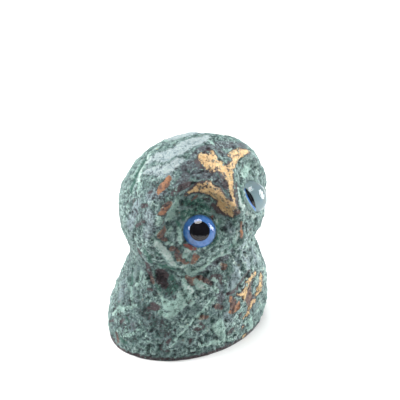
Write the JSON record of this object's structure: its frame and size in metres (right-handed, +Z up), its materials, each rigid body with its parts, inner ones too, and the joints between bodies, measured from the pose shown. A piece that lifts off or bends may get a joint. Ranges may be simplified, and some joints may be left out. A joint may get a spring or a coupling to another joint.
{
  "type": "owl statue",
  "caption": "Small squat owl figure in patinated cast bronze, its tilted head set with domed clear glass eyes, standing on its flat-cut underside.",
  "frame": {"origin": "middle of the flat underside, on the surface that the figure stands on", "axes": "+Z up, -Y towards the front of the body, +X to the owl's left"},
  "size_m": [0.0569, 0.0479, 0.0678],
  "materials": {
    "bronze": "cast bronze under a rough verdigris patina, rubbed bright on the brows, forehead crest and breast",
    "eye_glass": "polished clear glass, with a blue core and a black pupil sealed in it"
  },
  "bodies": {
    "root": {"casting": "bronze", "right_eye": "eye_glass", "left_eye": "eye_glass"}
  },
  "joints": []
}
